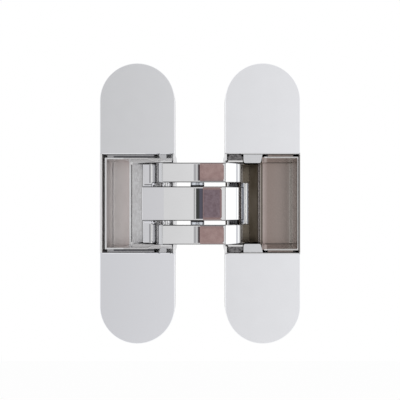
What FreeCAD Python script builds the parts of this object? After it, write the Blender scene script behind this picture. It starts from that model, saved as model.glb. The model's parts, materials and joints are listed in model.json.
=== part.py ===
import FreeCAD, Part
import math
import os

# Concealed door hinge, modelled open flat as it hangs between a frame and a door.
# Two cast leaves sit in routed pockets. A fork arm and a centre arm cross between them on one
# centre pin. Each arm turns on a pivot pin in one leaf and slides in curved grooves in the other.
#
# Axes: X runs from the left leaf to the right leaf, Y runs into the wood, Z is up.
# Origin: centre of the left leaf's four fixing screws, on the face that seats on the wood.
# Inside a leaf, u is the distance from the leaf's gap edge and t the depth from its front face.
# All sizes are millimetres. The lower half mirrors the upper one.

Vector = FreeCAD.Vector

# Leaf outline and depths
leaf_width = 32.0
leaf_gap = 21.7
end_length = 36.0
seat_depth = 13.0
body_depth = 28.0
body_corner = 4.0
cover_thickness = 2.0
cover_chamfer = 0.25
end_wall_thickness = 1.3
end_rib = 1.85
floor_wall = 1.7
gap_side_wall = 0.65
left_outer_wall = 0.85
right_outer_wall = 0.5
side_opening_room = 0.7
side_opening_depth = 0.95

# Fixing screw holes
screw_spacing_x = 14.0
screw_end_distance = 9.0
screw_hole_radius = 2.4
screw_head_radius = 4.3

# Linkage, with the leaves open flat
pivot_wall_room = 0.6
pivot_depth = 10.0
centre_pin_ahead = 4.0
centre_pin_offset = 1.1
left_slide_depth = 7.2
slide_lap = 0.05
right_slide_depth = 7.5
closed_gap = 4.0
groove_steps = 12

# Arms
arm_half = 17.15
prong_width = 8.3
arm_slot_gap = 1.65
arm_front = 7.0
arm_back = 1.0
hub_radius = 2.7
hub_neck = 0.15
hub_relief = 0.75
crosshead_end_radius = 2.6
fork_end_radius = 2.1
cross_bar_radius = 1.9
leg_inner = 2.1
fork_leg_outer = 7.1
fork_corner = 2.5
fork_waist_depth = 5.0
fork_elbow = (6.7, -0.5, 2.0)
centre_leg_outer = 5.9
centre_leg_front = 1.5
arm_corner = 1.5
crosshead_room = 0.9
crosshead_beyond = 2.8
crosshead_lip = 0.4
crosshead_front = 1.5
crosshead_round = 2.4
crosshead_bend = 4.0
shoulder_flare = 1.2
shoulder_inset = 0.4

# Recesses in the arms' fronts
prong_recess_start = 0.3
prong_recess_end = 11.1
prong_recess_depth = 1.35
prong_recess_rim = 0.7
prong_recess_slope = 0.65
prong_bevel_width = 1.9
centre_recess_start = -0.6
centre_recess_end = 10.2
centre_recess_depth = 2.0
centre_recess_rim = 0.8
centre_recess_slope = 2.5
centre_bevel_width = 0.8
recess_corner = 1.0
bevel_depth = 0.2

# Pins, bushes and washers
pivot_pin_radius = 1.5
slide_pin_radius = 1.25
centre_pin_radius = 1.5
bush_radius = 2.1
washer_radius = 2.9
press_clearance = 0.01
running_clearance = 0.05
groove_clearance = 0.05
face_clearance = 0.05
pin_end_recess = 0.15

# Carriers
arm_side_room = 0.55
carrier_front = 0.8
carrier_start = 1.25
carrier_wall = 0.65
left_cheek = 1.95
left_outer_room = 2.0
left_outer_lip = 0.8
left_back_room = 0.3
left_back_wall = 2.1
left_floor_step = 0.6
left_ridge_inset = 11.0
left_ridge_height = 0.3
left_floor_corner = 0.3
left_ridge_width = 0.8
left_ridge_slope = 0.6
cheek_end = 18.5
cheek_step = 5.0
crank_start = 8.4
crank_end = 11.8
crank_inner_room = 0.7
right_cheek = 2.45
right_outer_room = 0.65
right_outer_lip = 0.45
right_wall_draft = 0.9
right_back_room = 0.1
right_back_wall = 0.7
right_floor_step = 2.0
right_ridge = 16.6
right_ridge_width = 1.3
right_ridge_height = 0.6
right_ridge_slope = 0.3
carrier_room = 1.0
body_wall = 2.85
boss_height = 0.75
boss_end = 7.3
boss_front = 1.2
boss_back = 16.0
boss_corner = 1.4
notch_room = 0.4

# Height plates, carried by the left housing
height_plate_thickness = 1.8
height_plate_inset = 2.6
height_plate_wall = 0.2
height_travel = 1.2
slide_clearance = 0.1

# Ears of the left carrier, on the height plates
left_ear_start = 9.0
left_ear_inset = 2.6
left_ear_beyond = 4.4
ear_thickness = 2.0
lip_width = 1.5
side_travel_out = 1.1
side_travel_in = 0.5

# Cams
side_cam_throw = 1.6
side_cam_radius = 3.6
side_cam_journal = 2.2
side_cam_offset = 2.5
side_cam_beyond = 4.6
slot_room_below = 0.06
slot_room_above = 0.26
height_cam_throw = 2.4
height_cam_radius = 4.4
height_cam_journal = 3.0
height_cam_offset = 2.5
height_cam_wall = 0.7
height_cam_length = 4.5
bore_end_room = 0.3
socket_across_flats = 2.5
cam_socket_depth = 1.5
screw_socket_depth = 0.8

# Retainers
retainer_room = 0.15
retainer_thickness = 1.25
retainer_screw_radius = 1.5
retainer_screw_beyond = 3.0
retainer_beyond = 4.0
retainer_screw_end = 9.5
retainer_edge_room = 0.25
left_tongue = (3.6, 7.1)
left_tongue_overlap = 0.45
left_retainer_span = (3.0, 8.3)
right_tongue = (7.9, 16.3)
right_tongue_reach = 0.25
right_retainer_span = (7.0, 17.2)
tongue_taper = 1.0
tongue_corner = 0.9

# Ears of the right carrier and their depth screws
right_ear_spacing = 1.4
right_ear_inset = 2.4
depth_screw_room = 0.2
right_ear_beyond = 6.0
ear_room = 0.8
depth_travel = 1.0
depth_screw_beyond = 5.0
depth_screw_radius = 2.5
depth_neck_radius = 1.9
depth_head_radius = 3.6
depth_head = 1.0

# Cover clips
clip_thickness = 0.7
clip_length = 4.0
clip_depth = 3.2
clip_end_distance = 19.0

# Pieces are sunk this far into what they join, and cuts run this far past a face
overlap = 0.5
through = 1.0

# Worked out from the sizes above
cheek_inner = arm_half + arm_side_room
prong_inner = arm_half - prong_width
centre_half = prong_inner - arm_slot_gap
left_carrier_half = cheek_inner + left_cheek
right_carrier_half = cheek_inner + right_cheek
window_half = right_carrier_half + carrier_room
body_half = window_half + body_wall
leaf_length = 2.0 * (body_half + end_length)
end_radius = leaf_width / 2.0
screw_z = leaf_length / 2.0 - screw_end_distance
half_gap = leaf_gap / 2.0
pivot_inset = gap_side_wall + pivot_wall_room + hub_radius
crosshead_inner = fork_leg_outer + crosshead_room
left_slide_inset = crosshead_inner + crosshead_end_radius
right_slide_inset = pivot_inset + hub_radius + fork_end_radius - slide_lap
crosshead_outer = left_slide_inset + crosshead_beyond
crosshead_reach = crosshead_outer + crosshead_lip
pocket_floor = body_depth - floor_wall
left_carrier_back = pocket_floor - left_back_room
left_deep_floor = left_carrier_back - left_back_wall
left_floor = left_deep_floor - left_floor_step
right_carrier_back = pocket_floor - depth_travel - right_back_room
right_deep_floor = right_carrier_back - right_back_wall
right_floor = right_deep_floor - right_floor_step
retainer_top = cover_thickness + retainer_room
retainer_bottom = retainer_top + retainer_thickness
tongue_notch_depth = retainer_bottom + depth_travel + slide_clearance
left_ear_top = retainer_bottom + slide_clearance
left_ear_bottom = left_ear_top + ear_thickness
height_plate_top = left_ear_bottom + slide_clearance
height_plate_bottom = height_plate_top + height_plate_thickness
recess_floor = height_plate_bottom + slide_clearance
left_centre_reach = half_gap - centre_pin_offset
right_centre_reach = half_gap + centre_pin_offset
left_carrier_end = leaf_width - left_outer_room
right_carrier_end = leaf_width - right_outer_room
left_ridge = leaf_width - left_ridge_inset
left_ear_end = leaf_width - left_ear_inset
right_ear_start = right_retainer_span[1] + right_ear_spacing
right_ear_end = leaf_width - right_ear_inset
right_ear_top = cover_thickness + depth_screw_room + depth_travel + depth_head + slide_clearance
right_ear_bottom = right_ear_top + ear_thickness
side_cam_u = leaf_width / 2.0 + side_cam_offset
side_cam_z = body_half + side_cam_beyond
left_ear_reach = side_cam_z + left_ear_beyond
height_plate_start = window_half + end_rib + height_travel + 2.0 * slide_clearance
height_plate_end = screw_z - screw_head_radius - height_travel - slide_clearance - height_plate_wall
height_cam_u = leaf_width / 2.0 - height_cam_offset
height_cam_z = height_plate_end - height_cam_radius - height_cam_wall
depth_screw_u = (right_ear_start + right_ear_end) / 2.0
depth_screw_z = body_half + depth_screw_beyond
right_ear_reach = depth_screw_z + right_ear_beyond
retainer_screw_z = body_half + retainer_screw_beyond
retainer_reach = retainer_screw_z + retainer_beyond


def left_x(u):
    return leaf_width / 2.0 - u


def right_x(u):
    return leaf_width / 2.0 + leaf_gap + u


def depth(t):
    return t - seat_depth


def left_point(u, t, radius=0.0):
    return (left_x(u), depth(t), radius)


def right_point(u, t, radius=0.0):
    return (right_x(u), depth(t), radius)


centre_x = left_x(-left_centre_reach)
centre_y = depth(-centre_pin_ahead)
pivot_y = depth(pivot_depth)


# Closed outline with straight sides and tangent arcs at the corners that have a radius
def outline(corners, place):
    count = len(corners)
    starts = []
    ends = []
    arcs = []
    for i in range(count):
        ax, ay = corners[i - 1][0], corners[i - 1][1]
        bx, by, radius = corners[i]
        cx, cy = corners[(i + 1) % count][0], corners[(i + 1) % count][1]
        if radius <= 0.0:
            starts.append((bx, by))
            ends.append((bx, by))
            arcs.append(None)
            continue
        in_length = math.hypot(ax - bx, ay - by)
        out_length = math.hypot(cx - bx, cy - by)
        inx, iny = (ax - bx) / in_length, (ay - by) / in_length
        outx, outy = (cx - bx) / out_length, (cy - by) / out_length
        half = 0.5 * math.acos(max(-1.0, min(1.0, inx * outx + iny * outy)))
        run = radius / math.tan(half)
        bis = math.hypot(inx + outx, iny + outy)
        reach = radius / math.sin(half) - radius
        starts.append((bx + inx * run, by + iny * run))
        ends.append((bx + outx * run, by + outy * run))
        arcs.append((bx + (inx + outx) / bis * reach, by + (iny + outy) / bis * reach))
    edges = []
    for i in range(count):
        if arcs[i] is not None:
            edges.append(Part.Arc(place(*starts[i]), place(*arcs[i]), place(*ends[i])).toShape())
        here = place(*ends[i])
        there = place(*starts[(i + 1) % count])
        if here.distanceToPoint(there) > 1e-6:
            edges.append(Part.LineSegment(here, there).toShape())
    return Part.Wire(edges)


# Prism along Z from an outline in X and Y
def arm_prism(corners, z0, z1):
    wire = outline(corners, lambda x, y: Vector(x, y, z0))
    return Part.Face(wire).extrude(Vector(0, 0, z1 - z0))


# Prism along Y, between two depths, from an outline in X and Z
def plate_prism(corners, t0, t1):
    wire = outline(corners, lambda x, z: Vector(x, depth(t0), z))
    return Part.Face(wire).extrude(Vector(0, t1 - t0, 0))


def leaf_box(x_of, u0, u1, t0, t1, z0, z1):
    x0, x1 = sorted((x_of(u0), x_of(u1)))
    return Part.makeBox(x1 - x0, t1 - t0, z1 - z0, Vector(x0, depth(t0), z0))


def leaf_plate(x_of, u0, u1, t0, t1, z0, z1, radius):
    corners = [(x_of(u0), z0, radius), (x_of(u1), z0, radius), (x_of(u1), z1, radius), (x_of(u0), z1, radius)]
    return plate_prism(corners, t0, t1)


def post(x, y, z0, z1, radius):
    return Part.makeCylinder(radius, z1 - z0, Vector(x, y, z0), Vector(0, 0, 1))


def stud(x, z, t0, t1, radius):
    return Part.makeCylinder(radius, t1 - t0, Vector(x, depth(t0), z), Vector(0, 1, 0))


def cone(x, z, t0, t1, radius0, radius1):
    return Part.makeCone(radius0, radius1, t1 - t0, Vector(x, depth(t0), z), Vector(0, 1, 0))


# Hexagon socket in the head of a cam or a screw
def socket(x, z, top, deep):
    corner = socket_across_flats / math.sqrt(3.0)
    corners = []
    for i in range(6):
        angle = math.radians(60.0 * i)
        corners.append((x + corner * math.cos(angle), z + corner * math.sin(angle), 0.0))
    return plate_prism(corners, top - overlap, top + deep)


def lower(shape):
    return shape.mirror(Vector(0, 0, 0), Vector(0, 0, 1))


def with_mirror(shape):
    return shape.fuse(lower(shape))


def joined(shapes):
    result = shapes[0]
    for shape in shapes[1:]:
        result = result.fuse(shape)
    return result.removeSplitter()


def end_outline(centre, inset, start):
    radius = end_radius - inset
    straight = leaf_length / 2.0 - end_radius
    half = leaf_width / 2.0 - inset
    place = lambda x, z: Vector(x, 0, z)
    low_left = place(centre - half, start)
    low_right = place(centre + half, start)
    high_left = place(centre - half, straight)
    high_right = place(centre + half, straight)
    top = place(centre, straight + radius)
    edges = [Part.LineSegment(low_left, low_right).toShape(),
             Part.LineSegment(low_right, high_right).toShape(),
             Part.Arc(high_right, top, high_left).toShape(),
             Part.LineSegment(high_left, low_left).toShape()]
    return Part.Wire(edges)


# Upper end of a leaf, drawn inwards by an inset, between two depths
def end_prism(centre, inset, start, t0, t1):
    shape = Part.Face(end_outline(centre, inset, start)).extrude(Vector(0, t1 - t0, 0))
    shape.translate(Vector(0, depth(t0), 0))
    return shape


# How far the joints turn between open and closed, from the pins' places
def closed_linkage():
    left_arm = math.hypot(left_centre_reach + pivot_inset, centre_pin_ahead + pivot_depth)
    right_arm = math.hypot(right_centre_reach + pivot_inset, centre_pin_ahead + pivot_depth)
    far = closed_gap + 2.0 * pivot_depth
    along = (left_arm ** 2 - right_arm ** 2 + far ** 2) / (2.0 * far)
    across = math.sqrt(left_arm ** 2 - along ** 2)
    left_closed = math.atan2(-along, across)
    right_closed = math.atan2(-(far - along), across)
    left_open = math.atan2(-(centre_pin_ahead + pivot_depth), -(left_centre_reach + pivot_inset))
    right_open = math.atan2(-(centre_pin_ahead + pivot_depth), -(right_centre_reach + pivot_inset))
    return left_closed - left_open, right_closed - right_open


left_turn, right_turn = closed_linkage()
cross_turn = math.pi - left_turn - right_turn


# Place of an arm's sliding end inside the leaf it slides in, in u and t.
# share is 0 with the hinge open and 1 with it closed. near_turn is the turn at this leaf's pivot.
def slide_place(share, reach, inset, deep, near_turn):
    pivot_u, pivot_t = pivot_inset, pivot_depth
    turn = near_turn * share
    arm_u, arm_t = -reach - pivot_u, -centre_pin_ahead - pivot_t
    pin_u = pivot_u + arm_u * math.cos(turn) - arm_t * math.sin(turn)
    pin_t = pivot_t + arm_u * math.sin(turn) + arm_t * math.cos(turn)
    whole = (near_turn + cross_turn) * share
    end_u, end_t = inset + reach, deep + centre_pin_ahead
    u = pin_u + end_u * math.cos(whole) - end_t * math.sin(whole)
    t = pin_t + end_u * math.sin(whole) + end_t * math.cos(whole)
    return u, t


# Chain of arcs through every second point of a path
def arc_chain(points):
    edges = []
    for i in range(0, len(points) - 2, 2):
        edges.append(Part.Arc(points[i], points[i + 1], points[i + 2]).toShape())
    return edges


# Curved groove through a carrier's upper cheek, wide enough for a slide bush
def groove(x_of, reach, inset, deep, near_turn, z0, z1):
    half = bush_radius + groove_clearance
    places = [slide_place(i / groove_steps, reach, inset, deep, near_turn) for i in range(groove_steps + 1)]
    outer = []
    inner = []
    for i, (u, t) in enumerate(places):
        before = places[max(i - 1, 0)]
        after = places[min(i + 1, groove_steps)]
        du, dt = after[0] - before[0], after[1] - before[1]
        length = math.hypot(du, dt)
        outer.append(Vector(x_of(u + dt / length * half), depth(t - du / length * half), z0))
        inner.append(Vector(x_of(u - dt / length * half), depth(t + du / length * half), z0))
    edges = arc_chain(outer) + [Part.LineSegment(outer[-1], inner[-1]).toShape()]
    edges += arc_chain(inner) + [Part.LineSegment(inner[0], outer[0]).toShape()]
    slot = Part.Face(Part.Wire(Part.__sortEdges__(edges))).extrude(Vector(0, 0, z1 - z0))
    for u, t in (places[0], places[-1]):
        slot = slot.fuse(post(x_of(u), depth(t), z0, z1, half))
    return slot.removeSplitter()


# Cast leaf housing: shallow round ends, deep middle box and stepped recesses at both ends
def housing(x_of, outer_wall):
    centre = x_of(leaf_width / 2.0)
    ends = end_prism(centre, 0.0, 0.0, cover_thickness, seat_depth)
    rim = leaf_box(x_of, 0.0, leaf_width, 0.0, cover_thickness + overlap, -window_half, window_half)
    deep = leaf_plate(x_of, 0.0, leaf_width, seat_depth - overlap, body_depth,
                      -body_half, body_half, body_corner)
    body = joined([with_mirror(ends), rim, deep])
    pocket = leaf_box(x_of, gap_side_wall, leaf_width - outer_wall, -through, pocket_floor,
                      -window_half, window_half)
    body = body.cut(pocket)
    sink_depth = screw_head_radius - screw_hole_radius
    for x in (centre - screw_spacing_x / 2.0, centre + screw_spacing_x / 2.0):
        hole = stud(x, screw_z, cover_thickness, seat_depth + through, screw_hole_radius)
        sink = cone(x, screw_z, height_plate_top, height_plate_top + sink_depth,
                    screw_head_radius, screw_hole_radius)
        body = body.cut(with_mirror(hole.fuse(sink)))
    return body


# Recess under a leaf's upper cover, from the cover down to a depth
def end_recess(x_of, start, t1):
    centre = x_of(leaf_width / 2.0)
    return end_prism(centre, end_wall_thickness, start, cover_thickness - overlap, t1)


def left_housing():
    body = housing(left_x, left_outer_wall)
    shallow = end_recess(left_x, window_half - overlap, height_plate_top)
    plate_stop = height_plate_end + height_travel + slide_clearance
    plate_zone = end_recess(left_x, window_half + end_rib, recess_floor)
    plate_zone = plate_zone.common(leaf_box(left_x, 0.0, leaf_width, 0.0, seat_depth, 0.0, plate_stop))
    body = body.cut(with_mirror(shallow.fuse(plate_zone)))
    bore_end = recess_floor + height_cam_length + bore_end_room
    bore = stud(left_x(height_cam_u), -height_cam_z, recess_floor - overlap, bore_end,
                height_cam_journal + running_clearance)
    return body.cut(bore).removeSplitter()


def right_housing():
    body = housing(right_x, right_outer_wall)
    shallow = end_recess(right_x, window_half - overlap, height_plate_top)
    keep = leaf_box(right_x, right_retainer_span[0], right_retainer_span[1], retainer_bottom, seat_depth,
                    window_half, retainer_reach)
    ear_floor = right_ear_bottom + slide_clearance + depth_travel + slide_clearance
    ear_zone = leaf_box(right_x, right_ear_start - ear_room, leaf_width - end_wall_thickness,
                        cover_thickness - overlap, ear_floor,
                        window_half - overlap, right_ear_reach + ear_room)
    body = body.cut(with_mirror(shallow.cut(keep).fuse(ear_zone)))
    thread = stud(right_x(depth_screw_u), depth_screw_z, cover_thickness, seat_depth + through,
                  depth_screw_radius + running_clearance)
    hole = stud(right_x(middle_of(right_retainer_span)), retainer_screw_z, cover_thickness,
                retainer_screw_end + bore_end_room, retainer_screw_radius + press_clearance)
    body = body.cut(with_mirror(thread.fuse(hole)))
    half = cheek_inner + side_opening_room
    side = leaf_box(right_x, -through, side_opening_depth, -through, body_depth + through, -half, half)
    return body.cut(side).removeSplitter()


def middle_of(span):
    return 0.5 * (span[0] + span[1])


# Upper cover, flush with the leaf's rim, with two side clips
def cover(x_of):
    centre = x_of(leaf_width / 2.0)
    plate = end_prism(centre, 0.0, window_half, 0.0, cover_thickness)
    front = [edge for edge in plate.Edges if edge.BoundBox.YMax < depth(0.0) + 1e-6]
    parts = [plate.makeChamfer(cover_chamfer, front)]
    inner = end_wall_thickness + face_clearance
    clip_end = leaf_length / 2.0 - clip_end_distance
    clip_bottom = cover_thickness + clip_depth
    for u in (inner, leaf_width - inner - clip_thickness):
        parts.append(leaf_box(x_of, u, u + clip_thickness, cover_thickness - overlap, clip_bottom,
                              clip_end - clip_length, clip_end))
    return joined(parts)


# Pocket of the left carrier, open to the front and to the gap side
def left_carrier():
    start, end = carrier_start, left_carrier_end
    inner_end = end - left_outer_lip
    outside = -through
    block = leaf_box(left_x, start, end, carrier_front, left_carrier_back,
                     -left_carrier_half, left_carrier_half)
    ridge_top = left_floor - left_ridge_height
    arm_zone = arm_prism([left_point(outside, outside), left_point(inner_end, outside),
                          left_point(inner_end, left_floor, left_floor_corner),
                          left_point(left_ridge + left_ridge_width, left_floor),
                          left_point(left_ridge + left_ridge_width, ridge_top),
                          left_point(left_ridge, ridge_top),
                          left_point(left_ridge - left_ridge_slope, left_deep_floor),
                          left_point(outside, left_deep_floor)], -cheek_inner, cheek_inner)
    wide = left_carrier_half - carrier_wall
    wide_zone = arm_prism([left_point(cheek_end, outside), left_point(inner_end, outside),
                           left_point(inner_end, left_floor, left_floor_corner),
                           left_point(cheek_end, left_floor)], -wide, wide)
    inside = cheek_inner - overlap
    front_zone = plate_prism([(left_x(crank_start), inside, 0.0), (left_x(crank_start), cheek_inner, 0.0),
                              (left_x(crank_end), wide, 0.0), (left_x(inner_end), wide, 0.0),
                              (left_x(inner_end), inside, 0.0)], outside, cheek_step)
    crank_inner = cheek_inner + crank_inner_room
    past = left_carrier_half + through
    crank = plate_prism([(left_x(start - through), past, 0.0), (left_x(start - through), crank_inner, 0.0),
                         (left_x(crank_start), crank_inner, 0.0), (left_x(crank_end), left_carrier_half, 0.0),
                         (left_x(crank_end), past, 0.0)],
                        outside, retainer_bottom + slide_clearance)
    ear = leaf_box(left_x, left_ear_start, left_ear_end, left_ear_top, left_ear_bottom, wide, left_ear_reach)
    cam_x, cam_z = side_cam_centre()
    half = side_cam_radius + groove_clearance
    slot = plate_prism([(cam_x - half, cam_z - half - slot_room_below, half - face_clearance),
                        (cam_x + half, cam_z - half - slot_room_below, half - face_clearance),
                        (cam_x + half, cam_z + half + slot_room_above, half - face_clearance),
                        (cam_x - half, cam_z + half + slot_room_above, half - face_clearance)],
                       left_ear_top - through, left_ear_bottom + through)
    body = joined([block.cut(arm_zone).cut(wide_zone), with_mirror(ear)])
    body = body.cut(with_mirror(front_zone.fuse(crank).fuse(slot)))
    cheek = groove(left_x, left_centre_reach, left_slide_inset, left_slide_depth, left_turn, inside, past)
    bore = post(left_x(pivot_inset), pivot_y, inside, past, bush_radius + press_clearance)
    return body.cut(with_mirror(cheek.fuse(bore))).removeSplitter()


# Pocket of the right carrier, with a boss over the pivot and a notch for the retainer's tongue
def right_carrier():
    start, end = carrier_start, right_carrier_end
    inner_end = end - right_outer_lip
    outside = -through
    boss_half = right_carrier_half + boss_height
    past = boss_half + through
    block = leaf_box(right_x, start, end, carrier_front, right_carrier_back,
                     -right_carrier_half, right_carrier_half)
    boss = leaf_plate(right_x, start, boss_end, boss_front, boss_back, -boss_half, boss_half, boss_corner)
    ridge_end = right_ridge + right_ridge_width
    ridge_top = right_floor - right_ridge_height
    arm_zone = arm_prism([right_point(outside, outside), right_point(inner_end, outside),
                          right_point(inner_end, right_floor),
                          right_point(ridge_end + right_ridge_slope, right_floor),
                          right_point(ridge_end, ridge_top),
                          right_point(right_ridge, ridge_top),
                          right_point(right_ridge - right_ridge_slope, right_deep_floor),
                          right_point(outside, right_deep_floor)], -cheek_inner, cheek_inner)
    front_half = right_carrier_half - carrier_wall
    back_half = front_half - right_wall_draft
    side = [(-front_half, outside), (front_half, outside), (front_half, carrier_front),
            (back_half, right_floor), (-back_half, right_floor), (-front_half, carrier_front)]
    points = [Vector(right_x(ridge_end), depth(t), z) for z, t in side]
    wide_zone = Part.Face(Part.makePolygon(points + points[:1])).extrude(Vector(inner_end - ridge_end, 0, 0))
    inside = cheek_inner - overlap
    notch = leaf_box(right_x, right_tongue[0] - notch_room, right_tongue[1] + notch_room, outside,
                     tongue_notch_depth, inside, past)
    ear = leaf_box(right_x, right_ear_start, right_ear_end, right_ear_top, right_ear_bottom,
                   front_half + face_clearance, right_ear_reach)
    fork_half = depth_neck_radius + running_clearance
    slot_top, slot_bottom = right_ear_top - through, right_ear_bottom + through
    fork_slot = leaf_box(right_x, depth_screw_u - fork_half, depth_screw_u + fork_half, slot_top, slot_bottom,
                         depth_screw_z, right_ear_reach + through)
    fork_slot = fork_slot.fuse(stud(right_x(depth_screw_u), depth_screw_z, slot_top, slot_bottom, fork_half))
    body = joined([block.fuse(boss).cut(arm_zone).cut(wide_zone), with_mirror(ear)])
    body = body.cut(with_mirror(notch.fuse(fork_slot)))
    cheek = groove(right_x, right_centre_reach, right_slide_inset, right_slide_depth, right_turn,
                   inside, past)
    bore = post(right_x(pivot_inset), pivot_y, inside, past, bush_radius + press_clearance)
    return body.cut(with_mirror(cheek.fuse(bore))).removeSplitter()


# Full height hole for a pin through an arm
def pin_hole(x, y, radius):
    return post(x, y, -arm_half - through, arm_half + through, radius)


# Outer arm: two prongs, a barrel on the left pivot and a round cross bar at the sliding end
def fork_arm():
    corners = [left_point(fork_leg_outer, -arm_front, fork_corner),
               left_point(pivot_inset + hub_radius - hub_neck, pivot_depth),
               left_point(pivot_inset - hub_radius + hub_neck, pivot_depth),
               left_point(leg_inner, -arm_back, arm_corner),
               right_point(0.0, -arm_back, fork_corner),
               right_point(right_slide_inset - fork_end_radius, fork_waist_depth, arm_corner),
               right_point(right_slide_inset - fork_end_radius, right_slide_depth),
               right_point(right_slide_inset + fork_end_radius, right_slide_depth),
               right_point(right_slide_inset + fork_end_radius, fork_waist_depth, arm_corner),
               right_point(*fork_elbow),
               right_point(0.0, -arm_front, arm_corner)]
    slide_x, slide_y = right_x(right_slide_inset), depth(right_slide_depth)
    prong = arm_prism(corners, prong_inner, arm_half)
    end = post(slide_x, slide_y, prong_inner, arm_half, fork_end_radius)
    recess = recess_cut(prong_recess_start, prong_recess_end, prong_recess_depth,
                        prong_inner + prong_recess_rim, arm_half - prong_recess_rim,
                        prong_recess_slope, prong_bevel_width)
    barrel = post(left_x(pivot_inset), pivot_y, -arm_half, arm_half, hub_radius)
    bar = post(slide_x, slide_y, -prong_inner - overlap, prong_inner + overlap, cross_bar_radius)
    body = joined([with_mirror(prong.fuse(end).cut(recess)), barrel, bar])
    body = body.cut(pin_hole(left_x(pivot_inset), pivot_y, pivot_pin_radius + press_clearance))
    body = body.cut(pin_hole(centre_x, centre_y, centre_pin_radius + press_clearance))
    return body.cut(pin_hole(slide_x, slide_y, slide_pin_radius + press_clearance)).removeSplitter()


# Recess in an arm's front: a shallow bevel, a sloped left wall, a flat floor and rounded right corners
def recess_cut(start, end, deep, z0, z1, slope, bevel_width):
    floor_y = depth(-arm_front + deep)
    edge_y = depth(-arm_front + bevel_depth)
    above_y = depth(-arm_front) - overlap
    x_edge = centre_x + start
    x_end = centre_x + end
    well = arm_prism([(x_edge, above_y, 0.0), (x_edge, edge_y, 0.0), (x_edge + slope, floor_y, 0.0),
                      (x_end, floor_y, 0.0), (x_end, above_y, 0.0)], z0, z1)
    bounds = [(x_edge - overlap, z0, 0.0), (x_end, z0, recess_corner), (x_end, z1, recess_corner),
              (x_edge - overlap, z1, 0.0)]
    well = well.common(plate_prism(bounds, -arm_front - through, 0.0))
    lead = bevel_width * overlap / bevel_depth
    bevel = arm_prism([(x_edge - bevel_width - lead, above_y, 0.0), (x_edge, edge_y, 0.0),
                       (x_edge, above_y, 0.0)], z0, z1)
    return well.fuse(bevel)


# Inner arm: one wide bar, a barrel on the right pivot and a full height crosshead at the sliding end
def centre_arm():
    end_u = left_slide_inset + crosshead_end_radius
    corners = [right_point(centre_leg_outer, -centre_leg_front, arm_corner),
               right_point(pivot_inset + hub_radius - hub_relief, pivot_depth),
               right_point(pivot_inset - hub_radius + hub_neck, pivot_depth),
               right_point(leg_inner, -arm_back, arm_corner),
               left_point(crosshead_inner, -arm_back, arm_corner),
               left_point(crosshead_inner, left_slide_depth),
               left_point(end_u, left_slide_depth),
               left_point(crosshead_outer, -arm_front, overlap),
               left_point(crosshead_bend, -arm_front),
               right_point(0.0, -arm_front, arm_corner)]
    bar = arm_prism(corners, -centre_half, centre_half)
    rim_half = centre_half - centre_recess_rim
    bar = bar.cut(recess_cut(centre_recess_start, centre_recess_end, centre_recess_depth, -rim_half, rim_half,
                             centre_recess_slope, centre_bevel_width))
    head = arm_prism([left_point(crosshead_inner, left_slide_depth),
                      left_point(crosshead_inner, crosshead_front, crosshead_round),
                      left_point(crosshead_reach, crosshead_front, overlap),
                      left_point(end_u, left_slide_depth)], -arm_half, arm_half)
    slide_x, slide_y = left_x(left_slide_inset), depth(left_slide_depth)
    end = post(slide_x, slide_y, -arm_half, arm_half, crosshead_end_radius)
    shoulder = shoulder_wedge()
    barrel = post(right_x(pivot_inset), pivot_y, -arm_half, arm_half, hub_radius)
    body = joined([bar, head, end, shoulder, lower(shoulder), barrel])
    body = body.cut(pin_hole(right_x(pivot_inset), pivot_y, pivot_pin_radius + press_clearance))
    body = body.cut(pin_hole(centre_x, centre_y, centre_pin_radius + running_clearance))
    return body.cut(pin_hole(slide_x, slide_y, slide_pin_radius + press_clearance)).removeSplitter()


# Flared side of the centre bar where it runs down into the crosshead
def shoulder_wedge():
    inner, outer = crosshead_inner + shoulder_inset, crosshead_outer - shoulder_inset
    front, back = depth(-arm_front + shoulder_flare), depth(crosshead_front + overlap)
    inside = centre_half - overlap
    triangle = [Vector(left_x(inner), front, inside), Vector(left_x(inner), back, inside),
                Vector(left_x(inner), back, centre_half + shoulder_flare)]
    return Part.Face(Part.makePolygon(triangle + triangle[:1])).extrude(Vector(inner - outer, 0, 0))


# Bush between a pin and a carrier's upper cheek
def bush(x, y, pin_radius, end):
    start = arm_half + face_clearance
    return post(x, y, start, end, bush_radius).cut(
        post(x, y, start - through, end + through, pin_radius + running_clearance))


def washer():
    ring = post(centre_x, centre_y, centre_half + face_clearance, prong_inner - face_clearance, washer_radius)
    return ring.cut(pin_hole(centre_x, centre_y, centre_pin_radius + running_clearance))


# Upper height plate: slides up and down in the housing and carries the ear, lip and retainer boss
def height_plate(with_cam):
    top, bottom = height_plate_top, height_plate_bottom
    plate = leaf_box(left_x, height_plate_inset, leaf_width - height_plate_inset, top, bottom,
                     height_plate_start, height_plate_end)
    lip_start = left_ear_reach + face_clearance
    lip = leaf_box(left_x, left_ear_start, left_ear_end, left_ear_top, top + overlap,
                   lip_start, lip_start + lip_width)
    boss = leaf_box(left_x, left_retainer_span[0], left_retainer_span[1], retainer_bottom, top + overlap,
                    height_plate_start, retainer_reach)
    body = joined([plate, lip, boss])
    hole = stud(left_x(middle_of(left_retainer_span)), retainer_screw_z, 0.0, seat_depth,
                retainer_screw_radius + press_clearance)
    bore = stud(left_x(side_cam_u), side_cam_z, 0.0, seat_depth, side_cam_journal + running_clearance)
    body = body.cut(hole.fuse(bore))
    if with_cam:
        half = height_cam_radius + groove_clearance
        swing = math.asin(height_travel / height_cam_throw)
        x1 = left_x(height_cam_u) + height_cam_throw + half + slide_clearance
        x0 = x1 - 2.0 * (half + slide_clearance) - height_cam_throw * (1.0 - math.cos(swing))
        corner = half - face_clearance
        body = body.cut(plate_prism([(x0, height_cam_z - half, corner), (x1, height_cam_z - half, corner),
                                     (x1, height_cam_z + half, corner), (x0, height_cam_z + half, corner)],
                                    0.0, seat_depth))
    return body.removeSplitter()


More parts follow.
